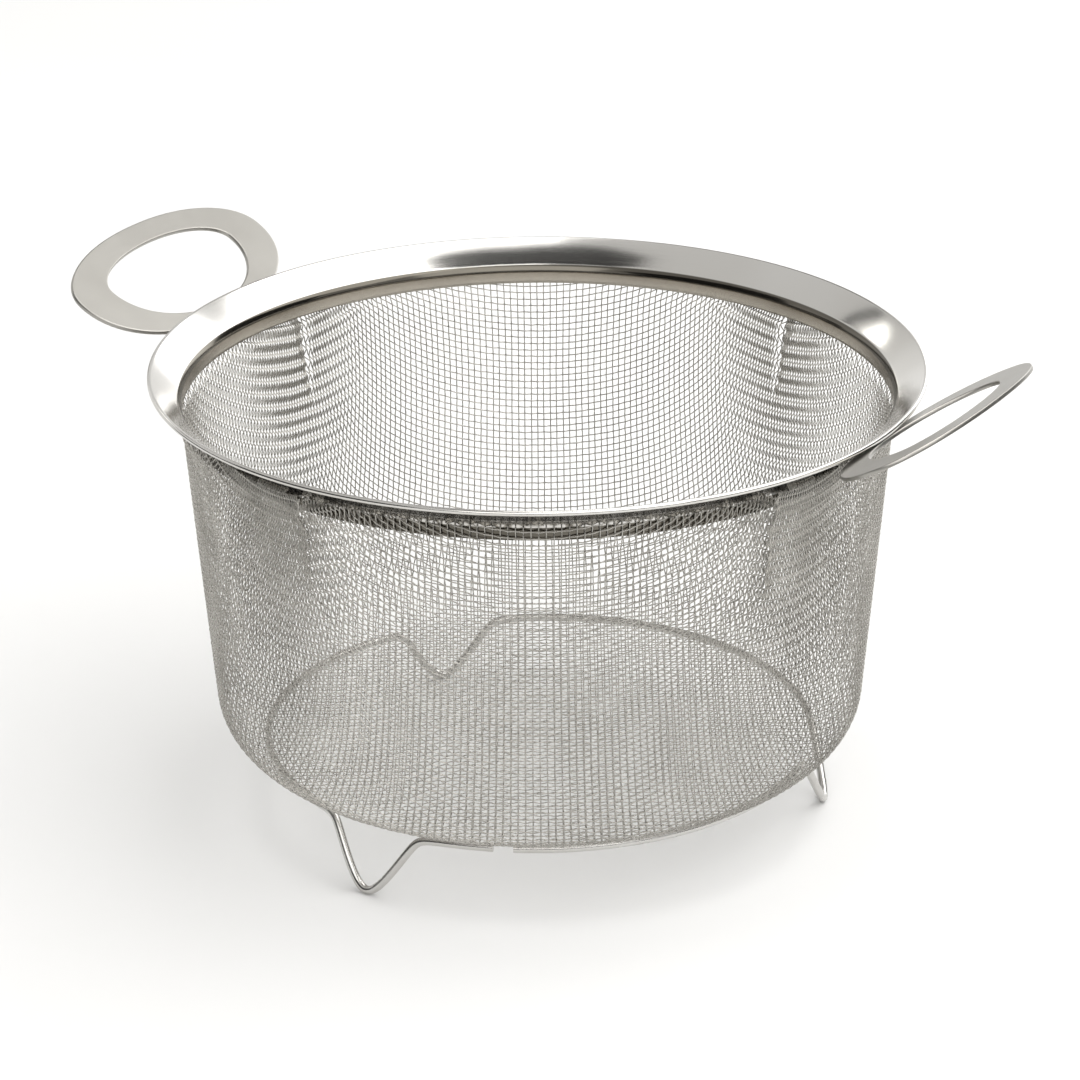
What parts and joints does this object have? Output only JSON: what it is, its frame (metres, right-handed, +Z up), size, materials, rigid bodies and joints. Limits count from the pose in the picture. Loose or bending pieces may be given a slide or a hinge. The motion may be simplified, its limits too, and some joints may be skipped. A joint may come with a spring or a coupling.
{
  "type": "wire mesh sieve",
  "caption": "Round deep-drawn wire mesh sieve with a polished flared rim, flat oval side handles and a bent wire foot ring, for straining by hand.",
  "frame": {"origin": "on the basket's axis, in the plane of the three feet", "axes": "+Z up along the basket's axis, +X through the middle of the right handle"},
  "size_m": [0.3519, 0.272, 0.184],
  "materials": {
    "rim": "mirror polished stainless steel sheet",
    "cloth": "bright drawn stainless steel wire cloth",
    "handle": "satin stainless steel sheet",
    "wire": "smooth stainless steel wire"
  },
  "bodies": {
    "root": {"rim": "rim", "mesh_basket": "cloth", "handle_left": "handle", "handle_right": "handle", "foot_ring": "wire"}
  },
  "joints": []
}
